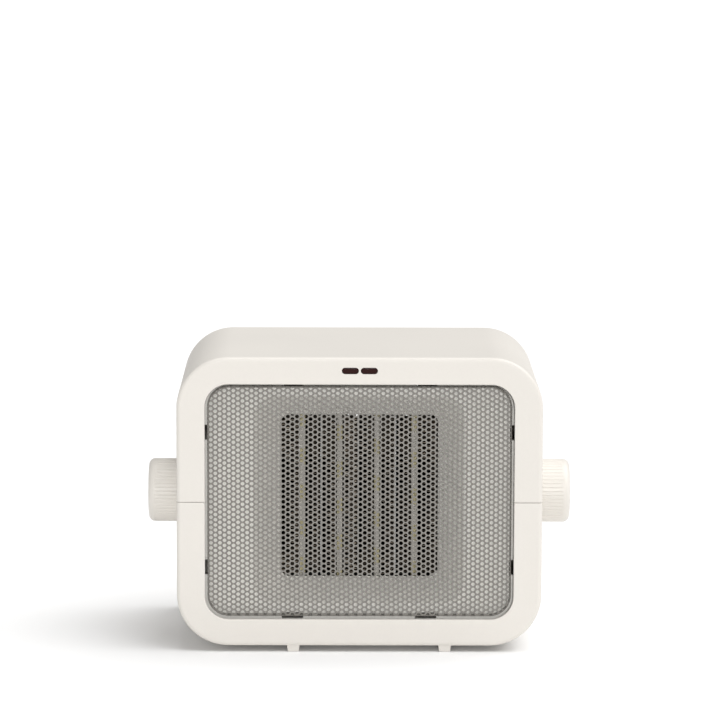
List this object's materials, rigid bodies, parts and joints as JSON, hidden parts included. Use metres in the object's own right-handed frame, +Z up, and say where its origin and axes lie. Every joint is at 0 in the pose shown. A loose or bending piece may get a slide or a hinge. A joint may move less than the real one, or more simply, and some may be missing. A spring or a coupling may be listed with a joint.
{
  "type": "ceramic space heater",
  "caption": "Compact box-shaped ceramic fan heater with rounded corners, a perforated front grille over the element and a turning knob on each side.",
  "frame": {"origin": "on the floor, under the middle of the casing", "axes": "+X to the user's right when facing the grille, +Y from the front grille to the rear cover, +Z up"},
  "size_m": [0.28, 0.15, 0.196],
  "materials": {
    "casing": "fine satin warm white moulded plastic",
    "knob": "fine satin warm white moulded plastic, ribbed",
    "grille": "perforated steel sheet, satin grey",
    "baffle": "satin cream moulded plastic",
    "grey_plastic": "satin moulded plastic",
    "dark_plastic": "satin black heat-resistant plastic",
    "lens": "dark red translucent, glossy",
    "board": "paper laminate board",
    "heater_bar": "khaki insulating film over aluminium",
    "fins": "thin corrugated aluminium, dulled by heat",
    "copper": "enamelled copper wire",
    "steel": "zinc-plated steel"
  },
  "bodies": {
    "heater": {"air_guide": "baffle", "cord_gland": "dark_plastic", "cover_screw_1": "steel", "cover_screw_2": "steel", "cover_screw_3": "steel", "cover_screw_4": "steel", "element_frame_bottom": "dark_plastic", "element_frame_top": "dark_plastic", "fan_shroud": "grey_plastic", "fin_pack_1": "fins", "fin_pack_2": "fins", "fin_pack_3": "fins", "fin_pack_4": "fins", "fin_pack_5": "fins", "front_grille": "grille", "heat_shield": "steel", "indicator_board": "board", "indicator_lamp_left": "lens", "indicator_lamp_right": "lens", "indicator_lens_left": "lens", "indicator_lens_right": "lens", "lower_shell": "casing", "motor_bracket_front": "steel", "motor_bracket_rear": "steel", "motor_coil": "copper", "motor_screw_1": "steel", "motor_screw_2": "steel", "motor_stator": "steel", "ptc_bar_1": "heater_bar", "ptc_bar_2": "heater_bar", "ptc_bar_3": "heater_bar", "ptc_bar_4": "heater_bar", "rear_cover": "casing", "selector_nut": "steel", "selector_switch": "dark_plastic", "shell_screw_1": "steel", "shell_screw_2": "steel", "shell_screw_3": "steel", "shell_screw_4": "steel", "terminal_block": "grey_plastic", "thermal_cutout": "dark_plastic", "thermostat_body": "steel", "thermostat_nut": "steel", "tip_microswitch": "dark_plastic", "tip_spring": "steel", "tip_switch_housing": "grey_plastic", "upper_shell": "casing"},
    "fan": {"impeller": "grey_plastic", "motor_rotor": "steel", "motor_shaft": "steel"},
    "selector": {"selector_knob": "knob", "selector_spindle": "steel"},
    "thermostat": {"thermostat_knob": "knob", "thermostat_spindle": "steel"},
    "tip_plunger": {"tip_plunger": "dark_plastic"}
  },
  "joints": [
    {"name": "fan_spin", "type": "hinge", "parent": "heater", "child": "fan", "pos_m": [0, 0, 0.1], "axis": [0, -1, 0], "continuous": true},
    {"name": "selector_turn", "type": "hinge", "parent": "heater", "child": "selector", "pos_m": [-0.12, -0.027, 0.1], "axis": [-1, 0, 0], "range_deg": [0, 135]},
    {"name": "thermostat_turn", "type": "hinge", "parent": "heater", "child": "thermostat", "pos_m": [0.12, -0.027, 0.1], "axis": [1, 0, 0], "range_deg": [0, 270]},
    {"name": "tip_plunger_slide", "type": "slide", "parent": "heater", "child": "tip_plunger", "axis": [0, 0, -1], "range_m": [0, 0.004], "stiffness_N_per_m": 60, "springref_m": 0.01, "deforming": ["tip_spring"]}
  ]
}
